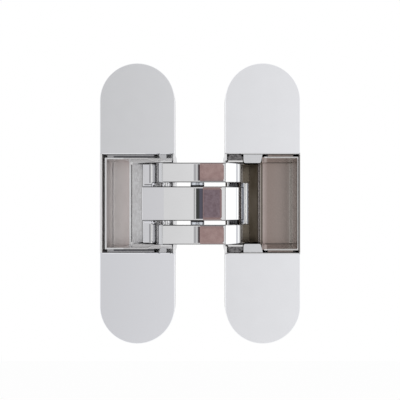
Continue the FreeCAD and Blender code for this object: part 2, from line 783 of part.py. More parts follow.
# Centre of the upper side cam's disc with the leaves as photographed
def side_cam_centre():
    middle = 0.5 * (side_travel_out - side_travel_in)
    swing = math.asin(middle / side_cam_throw)
    x = left_x(side_cam_u) + side_cam_throw * math.sin(swing)
    z = side_cam_z - side_cam_throw * math.cos(swing)
    return x, z


# Upper side cam: a journal in the height plate and an eccentric disc in the ear's slot
def side_cam():
    x, z = side_cam_centre()
    disc = stud(x, z, left_ear_top, left_ear_bottom, side_cam_radius)
    journal = stud(left_x(side_cam_u), side_cam_z, left_ear_bottom, height_plate_bottom, side_cam_journal)
    return disc.fuse(journal).removeSplitter().cut(
        socket(left_x(side_cam_u), side_cam_z, left_ear_top, cam_socket_depth))


# Height cam: a journal in the housing and an eccentric disc in the lower height plate
def height_cam():
    x = left_x(height_cam_u)
    disc = stud(x + height_cam_throw, -height_cam_z, height_plate_top, height_plate_bottom, height_cam_radius)
    journal_end = recess_floor + height_cam_length
    journal = stud(x, -height_cam_z, height_plate_bottom, journal_end, height_cam_journal)
    return disc.fuse(journal).removeSplitter().cut(socket(x, -height_cam_z, height_plate_top, cam_socket_depth))


# Upper retainer: a screwed plate whose tongue reaches over the edge of the carrier
def retainer(x_of, span, tongue, tip):
    neck = window_half + retainer_edge_room
    x0, x1 = x_of(span[0]), x_of(span[1])
    inner_x, outer_x = x_of(tongue[0]), x_of(tongue[1])
    tip_x = x_of(tongue[1] - tongue_taper)
    corners = [(x0, neck, 0.0), (inner_x, neck, 0.0), (inner_x, tip, tongue_corner),
               (tip_x, tip, tongue_corner), (outer_x, neck, 0.0), (x1, neck, 0.0),
               (x1, retainer_reach, 0.0), (x0, retainer_reach, 0.0)]
    plate = plate_prism(corners, retainer_top, retainer_bottom)
    return plate.cut(stud(x_of(middle_of(span)), retainer_screw_z, retainer_top - through,
                          retainer_bottom + through, retainer_screw_radius + press_clearance))


# Upper retainer screw, flush with the retainer's face
def retainer_screw(x_of, span, end):
    return stud(x_of(middle_of(span)), retainer_screw_z, retainer_top, end, retainer_screw_radius)


# Upper depth screw: the ear sits between head and shank, and the shank is threaded into the housing
def depth_screw():
    x, z = right_x(depth_screw_u), depth_screw_z
    top = right_ear_top - slide_clearance
    bottom = right_ear_bottom + slide_clearance
    head = stud(x, z, top - depth_head, top, depth_head_radius)
    neck = stud(x, z, top, bottom, depth_neck_radius)
    shank = stud(x, z, bottom, seat_depth - depth_travel, depth_screw_radius)
    return joined([head, neck, shank]).cut(socket(x, z, top - depth_head, screw_socket_depth))


def both_solids(shape):
    return Part.makeCompound([shape, lower(shape)])


def build():
    left_pin_half = left_carrier_half - pin_end_recess
    right_pin_half = right_carrier_half - pin_end_recess
    centre_pin_half = arm_half - pin_end_recess
    left_pivot_x, right_pivot_x = left_x(pivot_inset), right_x(pivot_inset)
    left_slide_x, left_slide_y = left_x(left_slide_inset), depth(left_slide_depth)
    right_slide_x, right_slide_y = right_x(right_slide_inset), depth(right_slide_depth)
    left_cover = cover(left_x)
    right_cover = cover(right_x)
    left_retainer = retainer(left_x, left_retainer_span, left_tongue, left_carrier_half - left_tongue_overlap)
    right_retainer = retainer(right_x, right_retainer_span, right_tongue, cheek_inner - right_tongue_reach)
    left_screw = retainer_screw(left_x, left_retainer_span, height_plate_bottom)
    right_screw = retainer_screw(right_x, right_retainer_span, retainer_screw_end)
    slide_radius = slide_pin_radius
    left_bush = bush(left_pivot_x, pivot_y, pivot_pin_radius, left_pin_half)
    right_bush = bush(right_pivot_x, pivot_y, pivot_pin_radius, right_pin_half)
    left_roller = bush(left_slide_x, left_slide_y, slide_radius, left_pin_half)
    right_roller = bush(right_slide_x, right_slide_y, slide_radius, right_pin_half)
    upper_washer = washer()
    upper_cam = side_cam()
    upper_depth = depth_screw()
    return {
        "left_housing": left_housing(),
        "right_housing": right_housing(),
        "left_upper_cover": left_cover,
        "left_lower_cover": lower(left_cover),
        "right_upper_cover": right_cover,
        "right_lower_cover": lower(right_cover),
        "left_carrier": left_carrier(),
        "right_carrier": right_carrier(),
        "fork_arm": fork_arm(),
        "centre_arm": centre_arm(),
        "left_pivot_pin": post(left_pivot_x, pivot_y, -left_pin_half, left_pin_half, pivot_pin_radius),
        "right_pivot_pin": post(right_pivot_x, pivot_y, -right_pin_half, right_pin_half, pivot_pin_radius),
        "centre_pin": post(centre_x, centre_y, -centre_pin_half, centre_pin_half, centre_pin_radius),
        "left_slide_pin": post(left_slide_x, left_slide_y, -left_pin_half, left_pin_half, slide_radius),
        "right_slide_pin": post(right_slide_x, right_slide_y, -right_pin_half, right_pin_half, slide_radius),
        "left_upper_pivot_bush": left_bush,
        "left_lower_pivot_bush": lower(left_bush),
        "right_upper_pivot_bush": right_bush,
        "right_lower_pivot_bush": lower(right_bush),
        "left_upper_slide_bush": left_roller,
        "left_lower_slide_bush": lower(left_roller),
        "right_upper_slide_bush": right_roller,
        "right_lower_slide_bush": lower(right_roller),
        "upper_spacer_washer": upper_washer,
        "lower_spacer_washer": lower(upper_washer),
        "upper_height_plate": height_plate(False),
        "lower_height_plate": lower(height_plate(True)),
        "height_cam": height_cam(),
        "upper_side_cam": upper_cam,
        "lower_side_cam": lower(upper_cam),
        "left_upper_retainer": left_retainer,
        "left_lower_retainer": lower(left_retainer),
        "right_upper_retainer": right_retainer,
        "right_lower_retainer": lower(right_retainer),
        "left_retainer_screws": both_solids(left_screw),
        "right_retainer_screws": both_solids(right_screw),
        "upper_depth_screw": upper_depth,
        "lower_depth_screw": lower(upper_depth),
    }


def main():
    os.makedirs("parts", exist_ok=True)
    for name, shape in build().items():
        shape.exportStep("parts/" + name + ".step")
        solids = shape.Solids
        volume = sum(solid.Volume for solid in solids)
        print("%-26s solids %d valid %s volume %.2f" % (name, len(solids), shape.isValid(), volume))
    print("left turn %.4f right turn %.4f cross turn %.4f degrees" % (
        math.degrees(left_turn), math.degrees(right_turn), math.degrees(cross_turn)))


main()
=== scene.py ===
import bmesh
import bpy
import json
import math
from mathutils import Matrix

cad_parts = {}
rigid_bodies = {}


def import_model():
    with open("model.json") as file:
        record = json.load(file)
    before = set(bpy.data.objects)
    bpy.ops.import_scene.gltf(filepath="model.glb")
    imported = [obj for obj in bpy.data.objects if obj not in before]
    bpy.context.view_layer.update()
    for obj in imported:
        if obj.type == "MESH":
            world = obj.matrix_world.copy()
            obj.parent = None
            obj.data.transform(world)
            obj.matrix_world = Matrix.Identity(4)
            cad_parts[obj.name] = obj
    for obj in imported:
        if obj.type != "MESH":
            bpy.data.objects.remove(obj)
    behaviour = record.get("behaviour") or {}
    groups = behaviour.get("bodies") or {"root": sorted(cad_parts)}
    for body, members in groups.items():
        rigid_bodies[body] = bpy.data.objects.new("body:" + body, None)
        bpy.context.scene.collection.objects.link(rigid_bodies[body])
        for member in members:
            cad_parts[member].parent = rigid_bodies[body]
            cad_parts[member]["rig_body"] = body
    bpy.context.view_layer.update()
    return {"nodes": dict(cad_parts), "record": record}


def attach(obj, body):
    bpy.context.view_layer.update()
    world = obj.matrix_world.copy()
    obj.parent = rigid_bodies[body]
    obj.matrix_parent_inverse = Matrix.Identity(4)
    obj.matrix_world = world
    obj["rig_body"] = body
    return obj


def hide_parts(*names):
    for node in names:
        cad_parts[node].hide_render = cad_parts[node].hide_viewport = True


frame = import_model()
nodes = frame["nodes"]
slots = {entry["node"]: entry["material_slot"] for entry in frame["record"]["subparts"]}
scene = bpy.context.scene
MM = 0.001

# Places in millimetres: the middle between the leaves in X, and the leaves' front faces in Y
HINGE_MIDDLE = 26.85
LEAF_FRONT = -13.0

# Camera: square on to the leaves' front faces
CAMERA_X = HINGE_MIDDLE * MM
CAMERA_Z = 1.5 * MM
CAMERA_DISTANCE = 300.0 * MM
LEAF_FRONT_Y = LEAF_FRONT * MM
PICTURE_PIXELS = 400.0
PIXELS_PER_MM = 2.3375
FRAME_WIDTH = PICTURE_PIXELS / PIXELS_PER_MM * MM
SENSOR = 36.0
CLIP_NEAR, CLIP_FAR = 0.01, 20.0

camera_data = bpy.data.cameras.new("camera")
camera = bpy.data.objects.new("camera", camera_data)
scene.collection.objects.link(camera)
camera_data.sensor_width = SENSOR
camera_data.lens = SENSOR * CAMERA_DISTANCE / FRAME_WIDTH
camera_data.clip_start = CLIP_NEAR
camera_data.clip_end = CLIP_FAR
camera.location = (CAMERA_X, LEAF_FRONT_Y - CAMERA_DISTANCE, CAMERA_Z)
camera.rotation_euler = (math.radians(90.0), 0.0, 0.0)
scene.camera = camera
scene.view_settings.view_transform = "Standard"


class Nodes:
    """Short calls for building a node tree."""

    def __init__(self, tree):
        self.tree = tree

    def add(self, kind, **values):
        node = self.tree.nodes.new(kind)
        for key, value in values.items():
            setattr(node, key, value)
        return node

    def feed(self, node, key, value):
        target = node.inputs[key]
        if isinstance(value, bpy.types.NodeSocket):
            self.tree.links.new(value, target)
        elif value is not None:
            target.default_value = value

    def maths(self, operation, a, b=None, clamp=False):
        node = self.add("ShaderNodeMath", operation=operation, use_clamp=clamp)
        for i, value in enumerate((a, b)):
            self.feed(node, i, value)
        return node.outputs[0]

    def remap(self, value, low, high, to_low=0.0, to_high=1.0):
        node = self.add("ShaderNodeMapRange", clamp=True)
        for i, item in enumerate((value, low, high, to_low, to_high)):
            self.feed(node, i, item)
        return node.outputs[0]

    def mix(self, factor, a, b):
        node = self.add("ShaderNodeMix", data_type="RGBA")
        self.feed(node, 0, factor)
        self.feed(node, 6, a)
        self.feed(node, 7, b)
        return node.outputs[2]

    def noise(self, vector, scale, detail=3.0, rough=0.5):
        node = self.add("ShaderNodeTexNoise")
        self.feed(node, "Vector", vector)
        self.feed(node, "Scale", scale)
        self.feed(node, "Detail", detail)
        self.feed(node, "Roughness", rough)
        return node.outputs["Fac"]

    def stretched(self, vector, scale):
        node = self.add("ShaderNodeMapping")
        self.feed(node, "Vector", vector)
        self.feed(node, "Scale", scale)
        return node.outputs["Vector"]

    def split(self, vector):
        node = self.add("ShaderNodeSeparateXYZ")
        self.feed(node, 0, vector)
        return tuple(node.outputs)

    # Colours along a value, each given with the place in millimetres at which it stands
    def ramp(self, value, stops):
        low, high = stops[0][0], stops[-1][0]
        node = self.add("ShaderNodeValToRGB")
        marks = node.color_ramp.elements
        while len(marks) < len(stops):
            marks.new(0.5)
        for mark, (place, colour) in zip(marks, stops):
            mark.position = (place - low) / (high - low)
            mark.color = tuple(colour) + (1.0,)
        self.feed(node, 0, self.remap(value, low * MM, high * MM))
        return node.outputs[0]

    # 1 between two values, with soft ends
    def between(self, value, low, high, soft):
        rise = self.remap(value, low - soft, low + soft)
        fall = self.remap(value, high - soft, high + soft, 1.0, 0.0)
        return self.maths("MULTIPLY", rise, fall)


def grey(level):
    return (level, level, level, 1.0)


# Depth below a leaf's front face, as Y
def at(deep):
    return deep + LEAF_FRONT


# World: a grey card in front, a dark room round it, and white at the sides and behind.
# Edges are angles in degrees from straight in front, and levels run from left to right or from level to upright.
CARD_LEFT, CARD_RIGHT = 0.665, 0.86
CARD_BLEND = 0.15
CARD_EDGE = 18.0
DARK_END_LEFT, DARK_END_RIGHT = 27.0, 34.0
DARK_BLEND = 0.1
DARK_LEVEL = 0.06
WHITE_LEVEL, WHITE_UPRIGHT = 1.05, 0.94


def make_world():
    world = bpy.data.worlds.new("studio")
    scene.world = world
    world.use_nodes = True
    tree = world.node_tree
    tree.nodes.clear()
    n = Nodes(tree)
    coords = n.add("ShaderNodeTexCoord").outputs["Generated"]
    x, y, z = n.split(coords)
    front = n.maths("MULTIPLY", y, -1.0)
    angle = n.maths("DEGREES", n.maths("ARCCOSINE", front))
    card = n.remap(x, -CARD_BLEND, CARD_BLEND, CARD_LEFT, CARD_RIGHT)
    side = n.remap(x, -DARK_BLEND, DARK_BLEND)
    dark_end = n.remap(side, 0.0, 1.0, DARK_END_LEFT, DARK_END_RIGHT)
    on_card = n.maths("LESS_THAN", angle, CARD_EDGE)
    past = n.maths("GREATER_THAN", angle, dark_end)
    level = n.remap(n.maths("ABSOLUTE", z), 0.0, 1.0, WHITE_LEVEL, WHITE_UPRIGHT)
    outside = n.remap(past, 0.0, 1.0, DARK_LEVEL, level)
    value = n.remap(on_card, 0.0, 1.0, outside, card)
    seen = n.add("ShaderNodeLightPath").outputs["Is Camera Ray"]
    combine = n.add("ShaderNodeCombineColor")
    for i in range(3):
        n.feed(combine, i, n.remap(seen, 0.0, 1.0, value, 1.0))
    background = n.add("ShaderNodeBackground")
    n.feed(background, "Color", combine.outputs[0])
    n.feed(background, "Strength", 1.0)
    output = n.add("ShaderNodeOutputWorld")
    tree.links.new(background.outputs[0], output.inputs[0])


make_world()


# Pale floor well below the hinge, which is held by its screws
FLOOR_Z = -0.30
FLOOR_SIZE = 2.0
FLOOR_TONE = 0.9
FLOOR_GLOW = 0.9


def make_floor():
    mesh = bpy.data.meshes.new("floor")
    half = FLOOR_SIZE / 2.0
    ring = [(x * half, y * half, FLOOR_Z) for x, y in ((-1, -1), (1, -1), (1, 1), (-1, 1))]
    mesh.from_pydata(ring, [], [(0, 1, 2, 3)])
    floor = bpy.data.objects.new("floor", mesh)
    scene.collection.objects.link(floor)
    material = bpy.data.materials.new("floor")
    material.use_nodes = True
    tree = material.node_tree
    tree.nodes.clear()
    n = Nodes(tree)
    diffuse = n.add("ShaderNodeBsdfDiffuse")
    n.feed(diffuse, "Color", grey(FLOOR_TONE))
    glow = n.add("ShaderNodeEmission")
    path = n.add("ShaderNodeLightPath")
    seen = n.maths("ADD", path.outputs["Is Camera Ray"], path.outputs["Is Glossy Ray"], clamp=True)
    seen = n.maths("ADD", seen, path.outputs["Is Transmission Ray"], clamp=True)
    share = n.maths("MULTIPLY", seen, FLOOR_GLOW)
    blend = n.add("ShaderNodeMixShader")
    tree.links.new(share, blend.inputs[0])
    tree.links.new(diffuse.outputs[0], blend.inputs[1])
    tree.links.new(glow.outputs[0], blend.inputs[2])
    output = n.add("ShaderNodeOutputMaterial")
    tree.links.new(blend.outputs[0], output.inputs[0])
    mesh.materials.append(material)


make_floor()


# Fine variation of the metals, and softness in millimetres of the edges of bands and other boxes
CLOUD_SCALE, SPECK_SCALE = 160.0, 2600.0
NOISE_LOW, NOISE_HIGH = 0.3, 0.7
TONE_LOW = 0.98
ROUGH_LOW, ROUGH_HIGH = 0.8, 1.2
BAND_SOFT = 0.05
REGION_SOFT = 0.02


# Metal with fine variation in tone and roughness, and patches of other colours, many of them painted highlights,
# reflections and shade.
# A band is a box of X, depth and height in millimetres, with its tone and how metallic it is.
def metal(name, colour, rough, wave=0.0, grain=0.0, patches=None):
    material = bpy.data.materials.new(name)
    material.use_nodes = True
    n = Nodes(material.node_tree)
    shader = material.node_tree.nodes["Principled BSDF"]
    place = n.add("ShaderNodeTexCoord").outputs["Object"]
    cloud = n.noise(place, CLOUD_SCALE, 4.0)
    speck = n.noise(place, SPECK_SCALE, 2.0)
    darker = tuple(part * TONE_LOW for part in colour[:3]) + (1.0,)
    base = n.mix(n.remap(cloud, NOISE_LOW, NOISE_HIGH), darker, colour)
    roughness = n.remap(speck, NOISE_LOW, NOISE_HIGH, rough * ROUGH_LOW, rough * ROUGH_HIGH)
    metallic = 1.0
    if patches is not None:
        base, roughness, bands = patches(n, place, base, roughness)
        for across, deep, high, tone, shine in bands:
            mask = region(n, place, across, deep, high, BAND_SOFT)
            base = n.mix(mask, base, tuple(tone) + (1.0,) if isinstance(tone, tuple) else tone)
            metallic = n.remap(mask, 0.0, 1.0, metallic, shine)
    n.feed(shader, "Base Color", base)
    n.feed(shader, "Metallic", metallic)
    n.feed(shader, "Roughness", roughness)
    if wave or grain:
        height = n.maths("ADD", n.maths("MULTIPLY", cloud, wave), n.maths("MULTIPLY", speck, grain))
        bump = n.add("ShaderNodeBump")
        n.feed(bump, "Strength", 1.0)
        n.feed(bump, "Distance", 1.0)
        n.feed(bump, "Height", height)
        n.feed(shader, "Normal", bump.outputs[0])
    return material


# Share of up or down in the normal of a rounded edge, and the softness of its ends
TURNED_FROM, TURNED_TO, TURNED_SOFT = 0.22, 0.90, 0.06


# 1 where a face turns up or down, as the rounded long edges of an arm do
def turned(n):
    normal = n.add("ShaderNodeNewGeometry").outputs["Normal"]
    return n.between(n.maths("ABSOLUTE", n.split(normal)[2]), TURNED_FROM, TURNED_TO, TURNED_SOFT)


# One tone below a value's low level, blended into another above its high one
def blended(n, value, low, high, below, above):
    return n.mix(n.remap(value, low, high), below, above)


# 1 inside a box in millimetres of X, depth and height, where None leaves an axis free
def region(n, place, across=None, deep=None, high=None, soft=REGION_SOFT):
    x, y, z = n.split(place)
    mask = None
    if deep is not None:
        deep = (at(deep[0]), at(deep[1]))
    for value, span in ((x, across), (y, deep), (n.maths("ABSOLUTE", z), high)):
        if span is None:
            continue
        part = n.between(value, span[0] * MM, span[1] * MM, soft * MM)
        mask = part if mask is None else n.maths("MULTIPLY", mask, part)
    return mask


# Places on the arms in millimetres: heights from the middle, depths, and X spans of the recesses
PRONG = (8.8, 17.3)
BAR = (-1.0, 8.7)
MIDDLE = (-1.0, 6.6)
PRONG_RECESS = (9.3, 16.8)
PRONG_LIP = (9.5, 16.5)
TOP = -7.0
FLAT_SKIN = (TOP, TOP + 0.22)
EDGE_SKIN = (TOP - 0.1, TOP + 0.1)
SLOPE = (-6.95, -1.6)
PRONG_FLOOR = (26.73, 36.9)
PRONG_FLOOR_DEPTH = (TOP + 1.25, TOP + 1.5)
CENTRE_FLOOR = (28.05, 36.0)
BARREL = (1.0, 2.5)
CROSSHEAD = (5.0, 7.0)
# Tone of the painted shade on the arms' rounded long edges, a dark painted reflection
EDGE_PAINTED_SHADE = 0.06
PRONG_FLOOR_ROUGHNESS, CENTRE_FLOOR_ROUGHNESS = 0.16, 0.2


# The two prongs: brown recess floors, with painted shade on each recess's left wall and lower edge, and painted
# highlight and shade lines at the bends, the ends and the round bar between them
def prong_patches(n, place, base, roughness):
    cloud = n.noise(place, 420.0, 5.0, 0.6)
    brown = blended(n, cloud, 0.35, 0.65, (0.375, 0.255, 0.245, 1.0), (0.455, 0.325, 0.31, 1.0))
    floor = region(n, place, PRONG_FLOOR, PRONG_FLOOR_DEPTH, PRONG_RECESS)
    # Painted shade: the rounded long edges darkened as a dark reflection
    base = n.mix(turned(n), base, grey(EDGE_PAINTED_SHADE))
    base = n.mix(floor, base, brown)
    # Painted shade along the lower side of each recess floor
    lower_edge_shade = region(n, place, PRONG_FLOOR, PRONG_FLOOR_DEPTH, (9.3, 10.6), 0.4)
    base = n.mix(n.maths("MULTIPLY", lower_edge_shade, 0.6), base, (0.22, 0.165, 0.17, 1.0))
    # Bands of painted light and shade: a shaded bend and light line at the left end, a grey lip with a light
    # line, the recess's dark left wall, shade lines along the recess rims, a white painted highlight on the
    # slope, lines at the bend, the shaded prong ends, and the round bar's dark line, grey and white painted
    # highlight
    bands = [
        ((9.2, 10.78), (TOP, -5.6), PRONG, (0.55, 0.555, 0.575), 1.0),
        ((10.78, 11.25), (TOP, -6.2), PRONG, (0.58, 0.585, 0.60), 0.0),
        ((24.2, 26.02), FLAT_SKIN, PRONG_LIP, (0.44, 0.44, 0.455), 1.0),
        ((25.1, 25.6), FLAT_SKIN, PRONG_LIP, (0.62, 0.62, 0.63), 1.0),
        ((26.02, 26.75), (TOP + 0.21, TOP + 1.5), PRONG_RECESS, (0.065, 0.065, 0.08), 1.0),
        ((26.9, 36.7), EDGE_SKIN, (16.45, 16.85), (0.41, 0.305, 0.30), 1.0),
        ((26.9, 36.7), EDGE_SKIN, (9.3, 9.75), (0.24, 0.20, 0.21), 1.0),
        ((37.7, 43.4), SLOPE, PRONG, (0.97, 0.975, 0.98), 1.0),
        ((42.2, 42.9), (-3.2, -1.8), PRONG, (0.52, 0.53, 0.565), 1.0),
        ((43.3, 43.85), (-2.0, -1.0), PRONG, (0.68, 0.69, 0.71), 1.0),
        ((43.85, 45.1), (-1.4, 0.6), PRONG, (0.33, 0.315, 0.30), 1.0),
        ((45.1, 50.0), (0.2, 11.0), PRONG, (0.21, 0.182, 0.142), 1.0),
        ((45.2, 45.62), CROSSHEAD, BAR, (0.13, 0.14, 0.17), 1.0),
        ((45.62, 47.9), CROSSHEAD, BAR, (0.48, 0.50, 0.55), 1.0),
        ((46.04, 47.35), CROSSHEAD, BAR, (1.0, 1.0, 1.0), 0.3),
    ]
    return base, n.remap(floor, 0.0, 1.0, roughness, PRONG_FLOOR_ROUGHNESS), bands


# The middle bar: mauve recess floor with painted shade on its left wall, a cooler head, and painted highlight
# and shade lines at the bends, the ends and the barrels
def centre_patches(n, place, base, roughness):
    cloud = n.noise(place, 700.0, 5.0, 0.65)
    mauve = blended(n, cloud, 0.35, 0.65, (0.20, 0.145, 0.165, 1.0), (0.28, 0.215, 0.245, 1.0))
    rim = n.maths("SUBTRACT", 1.0, region(n, place, (28.3, 35.4), None, (-1.0, 5.9), 0.35))
    mauve = n.mix(rim, mauve, (0.34, 0.225, 0.22, 1.0))
    floor = region(n, place, CENTRE_FLOOR, (TOP + 1.85, TOP + 2.2), MIDDLE)
    wall = region(n, place, (25.12, CENTRE_FLOOR[0]), (TOP + 0.21, TOP + 2.2), MIDDLE)
    x = n.split(place)[0]
    # Painted shade on the recess's left wall, near black
    wall_painted_shade = blended(n, x, 26.3 * MM, 26.9 * MM, (0.045, 0.047, 0.046, 1.0), (0.085, 0.083, 0.108, 1.0))
    head = region(n, place, (-5.0, 11.7), (TOP - 0.1, 2.5))
    base = n.mix(head, base, (0.80, 0.80, 0.83, 1.0))
    # Painted shade: the rounded long edges darkened as a dark reflection
    base = n.mix(turned(n), base, grey(EDGE_PAINTED_SHADE))
    base = n.mix(floor, base, mauve)
    base = n.mix(wall, base, wall_painted_shade)
    # Bands of painted light and shade: a grey lip, lines along the recess rims, a white painted highlight on the
    # slope with a light line, painted shade in the gap between prong and bar, a painted shadow line at the left
    # end, and grey and white painted reflections on the barrels
    bands = [
        ((23.9, 25.12), FLAT_SKIN, MIDDLE, (0.61, 0.61, 0.62), 1.0),
        ((28.1, 35.9), EDGE_SKIN, (6.4, 6.8), (0.30, 0.215, 0.205), 1.0),
        ((28.1, 35.9), EDGE_SKIN, (6.8, 7.2), (0.50, 0.44, 0.44), 1.0),
        ((37.7, 43.4), SLOPE, MIDDLE, (0.97, 0.975, 0.98), 1.0),
        ((42.1, 42.5), (-3.2, -2.2), MIDDLE, (0.72, 0.735, 0.76), 1.0),
        ((39.9, 44.1), (7.0, 11.0), (7.3, 9.2), (0.08, 0.08, 0.085), 1.0),
        ((2.0, 2.4), (1.0, 3.5), PRONG, (0.25, 0.25, 0.26), 1.0),
        ((4.98, 7.45), BARREL, PRONG, (0.44, 0.44, 0.455), 1.0),
        ((5.75, 6.4), BARREL, PRONG, (1.0, 1.0, 1.0), 1.0),
    ]
    return base, n.remap(floor, 0.0, 1.0, roughness, CENTRE_FLOOR_ROUGHNESS), bands


# Depth at which the pockets' floors and walls begin, and their roughness
POCKET_FROM = 3.0
LEFT_POCKET_ROUGHNESS, RIGHT_POCKET_ROUGHNESS = 0.26, 0.24


# Pocket of the left leaf: a satin floor that warms towards its ridge, a painted highlight on the ridge, then a
# lighter swirled strip, with painted light and shade on its walls and edges
def left_pocket(n, place, base, roughness):
    x, y, z = n.split(place)
    cloud = n.noise(n.stretched(place, (60.0, 60.0, 22.0)), 6.0, 5.0, 0.6)
    floor_mask = n.maths("GREATER_THAN", y, at(POCKET_FROM) * MM)
    floor = n.ramp(x, [(-12.6, (0.74, 0.70, 0.69)), (-5.4, (0.67, 0.60, 0.59))])
    floor = n.mix(n.remap(cloud, 0.35, 0.7, 0.0, 0.35), floor, (0.56, 0.515, 0.50, 1.0))
    strip = n.remap(x, -5.1 * MM, -4.9 * MM)
    swirl = n.noise(n.stretched(place, (90.0, 90.0, 50.0)), 9.0, 6.0, 0.7)
    swirled_strip = blended(n, swirl, 0.38, 0.62, (0.66, 0.65, 0.66, 1.0), (0.80, 0.80, 0.815, 1.0))
    floor = n.mix(strip, floor, swirled_strip)
    # Painted highlight along the ridge's top
    ridge = n.between(x, -5.75 * MM, -4.95 * MM, 0.05 * MM)
    floor = n.mix(ridge, floor, (0.90, 0.90, 0.91, 1.0))
    base = n.mix(floor_mask, base, floor)
    # Painted shade under the cover's edge: two darker greys and a dark line along the lens
    base = n.mix(region(n, place, None, (3.2, 3.9), (19.6, 21.4)), base, (0.47, 0.465, 0.48, 1.0))
    base = n.mix(region(n, place, (-6.0, 10.0), (0.6, 5.2), (17.6, 19.7)), base, (0.66, 0.65, 0.655, 1.0))
    lens = n.between(n.maths("ABSOLUTE", z), 19.75 * MM, 20.5 * MM, 0.12 * MM)
    ear = region(n, place, (-10.5, 8.0), (3.2, 3.9), (19.6, 21.3))
    base = n.mix(n.maths("MULTIPLY", lens, ear), base, (0.08, 0.08, 0.09, 1.0))
    # Left wall: painted shade near its top, painted light lower down
    wall = n.ramp(y, [(at(1.0), (0.38, 0.365, 0.36)), (at(19.0), (0.98, 0.955, 0.95))])
    # Bands of painted light and shade: the left wall's shaded ramp with its lit lower part and corner, a painted
    # shadow line beside the middle bar's left end, a painted light patch between the prongs, a painted highlight
    # on the ridge's right slope, and pale painted light on the outer side
    bands = [
        ((-13.3, -13.05), (1.0, 18.0), None, wall, 1.0),
        ((-13.3, -13.05), (18.0, 23.6), None, (1.0, 0.97, 0.965), 0.7),
        ((-13.2, -12.75), (22.8, 23.6), None, (1.0, 0.96, 0.95), 1.0),
        ((-0.1, 0.32), (23.5, 24.3), None, (0.56, 0.56, 0.57), 1.0),
        ((6.6, 7.5), (23.5, 24.3), None, (1.0, 1.0, 1.0), 0.2),
        ((-4.98, -4.2), (23.2, 24.1), None, (1.0, 1.0, 1.0), 1.0),
        ((-14.4, -13.8), (1.0, 26.0), None, (0.95, 0.93, 0.92), 0.0),
    ]
    return base, n.remap(floor_mask, 0.0, 1.0, roughness, LEFT_POCKET_ROUGHNESS), bands


# Pocket of the right leaf: a dark olive zone of painted shade, a ridge, a plain brown panel, a boss in mottled
# painted shade, and painted light and shade lines
def right_pocket(n, place, base, roughness):
    x, y, z = n.split(place)
    cloud = n.noise(n.stretched(place, (60.0, 60.0, 20.0)), 5.0, 5.0, 0.6)
    floor_mask = n.maths("GREATER_THAN", y, at(POCKET_FROM) * MM)
    panel = n.ramp(x, [(55.5, (0.60, 0.51, 0.49)), (58.0, (0.36, 0.29, 0.265)),
                       (66.8, (0.35, 0.30, 0.28)), (68.6, (0.50, 0.46, 0.44))])
    panel = n.mix(n.remap(cloud, 0.3, 0.7, 0.0, 0.35), panel, (0.35, 0.292, 0.268, 1.0))
    # Painted shade: the deep floor beyond the arms in dark olive, painted a little lighter about the middle
    # height
    deep = blended(n, cloud, 0.35, 0.7, (0.058, 0.045, 0.030, 1.0), (0.10, 0.084, 0.064, 1.0))
    low = n.remap(n.maths("ABSOLUTE", z), 2.0 * MM, 9.0 * MM, 1.0, 0.0)
    deep = n.mix(n.maths("MULTIPLY", low, 0.35), deep, (0.16, 0.135, 0.11, 1.0))
    floor = n.mix(n.remap(x, 53.8 * MM, 54.0 * MM), deep, panel)
    base = n.mix(floor_mask, base, floor)
    # Painted shade on the boss front, mottled
    boss = n.maths("GREATER_THAN", n.maths("ABSOLUTE", z), 18.45 * MM)
    blotch = n.noise(place, 900.0, 4.0, 0.7)
    mottled_painted_shade = blended(n, blotch, 0.4, 0.6, (0.09, 0.088, 0.09, 1.0), (0.26, 0.25, 0.255, 1.0))
    boss = n.maths("MULTIPLY", boss, n.between(x, 38.6 * MM, 45.3 * MM, 0.1 * MM))
    base = n.mix(boss, base, mottled_painted_shade)
    # Bands of painted light and shade: a painted highlight on the ridge top, dark painted shadows at its feet,
    # and painted light and shade lines along the rims, corners and right wall
    bands = [
        ((53.9, 54.2), (21.7, 24.7), None, (1.0, 0.93, 0.92), 0.0),
        ((53.2, 53.85), (24.2, 24.8), None, (0.07, 0.058, 0.047), 1.0),
        ((54.15, 54.6), (21.7, 22.1), None, (0.60, 0.55, 0.52), 1.0),
        ((54.65, 55.6), (21.0, 24.0), None, (0.185, 0.16, 0.138), 1.0),
        ((55.6, 68.6), (2.5, 21.5), (18.7, 19.5), (0.66, 0.60, 0.57), 1.0),
        ((55.6, 68.9), (0.7, 1.0), (19.65, 20.5), (0.56, 0.545, 0.54), 1.0),
        ((54.2, 55.8), (0.6, 1.0), (17.5, 19.6), (0.42, 0.355, 0.335), 1.0),
        ((68.1, 68.55), (22.2, 22.8), (-1.0, 18.9), (0.74, 0.70, 0.66), 1.0),
        ((55.6, 68.7), (22.2, 22.8), (18.35, 18.9), (0.20, 0.172, 0.155), 1.0),
        ((68.5, 68.8), (19.6, 22.6), (-1.0, 18.9), (0.28, 0.25, 0.23), 1.0),
        ((68.5, 68.8), (3.0, 19.6), (-1.0, 18.9), (0.88, 0.86, 0.84), 1.0),
        ((68.3, 68.72), (0.7, 3.0), (-1.0, 19.0), (0.20, 0.195, 0.19), 1.0),
    ]
    return base, n.remap(floor_mask, 0.0, 1.0, roughness, RIGHT_POCKET_ROUGHNESS), bands


# Where a leaf's cast outside begins: depths, height of its ends, and reach of its sides from the hinge's middle
SHELL_FROM = 0.45
INNER_SIDE_FROM = 0.6
BACK_FROM = 27.2
COVER_EDGE_FROM = 0.3
END_HEIGHT = 21.2
OUTER_SIDE, INNER_SIDE = 42.6, 11.1
SHELL_ROUGHNESS = 0.34
# Greys by depth, painted darker towards the back as painted shade
SHELL_TONES = [
    (at(0.3), (0.72, 0.72, 0.735)), (at(19.0), (0.60, 0.60, 0.615)), (at(19.6), (0.66, 0.66, 0.675)),
    (at(27.5), (0.56, 0.56, 0.575)), (at(28.5), (0.50, 0.50, 0.515)),
]


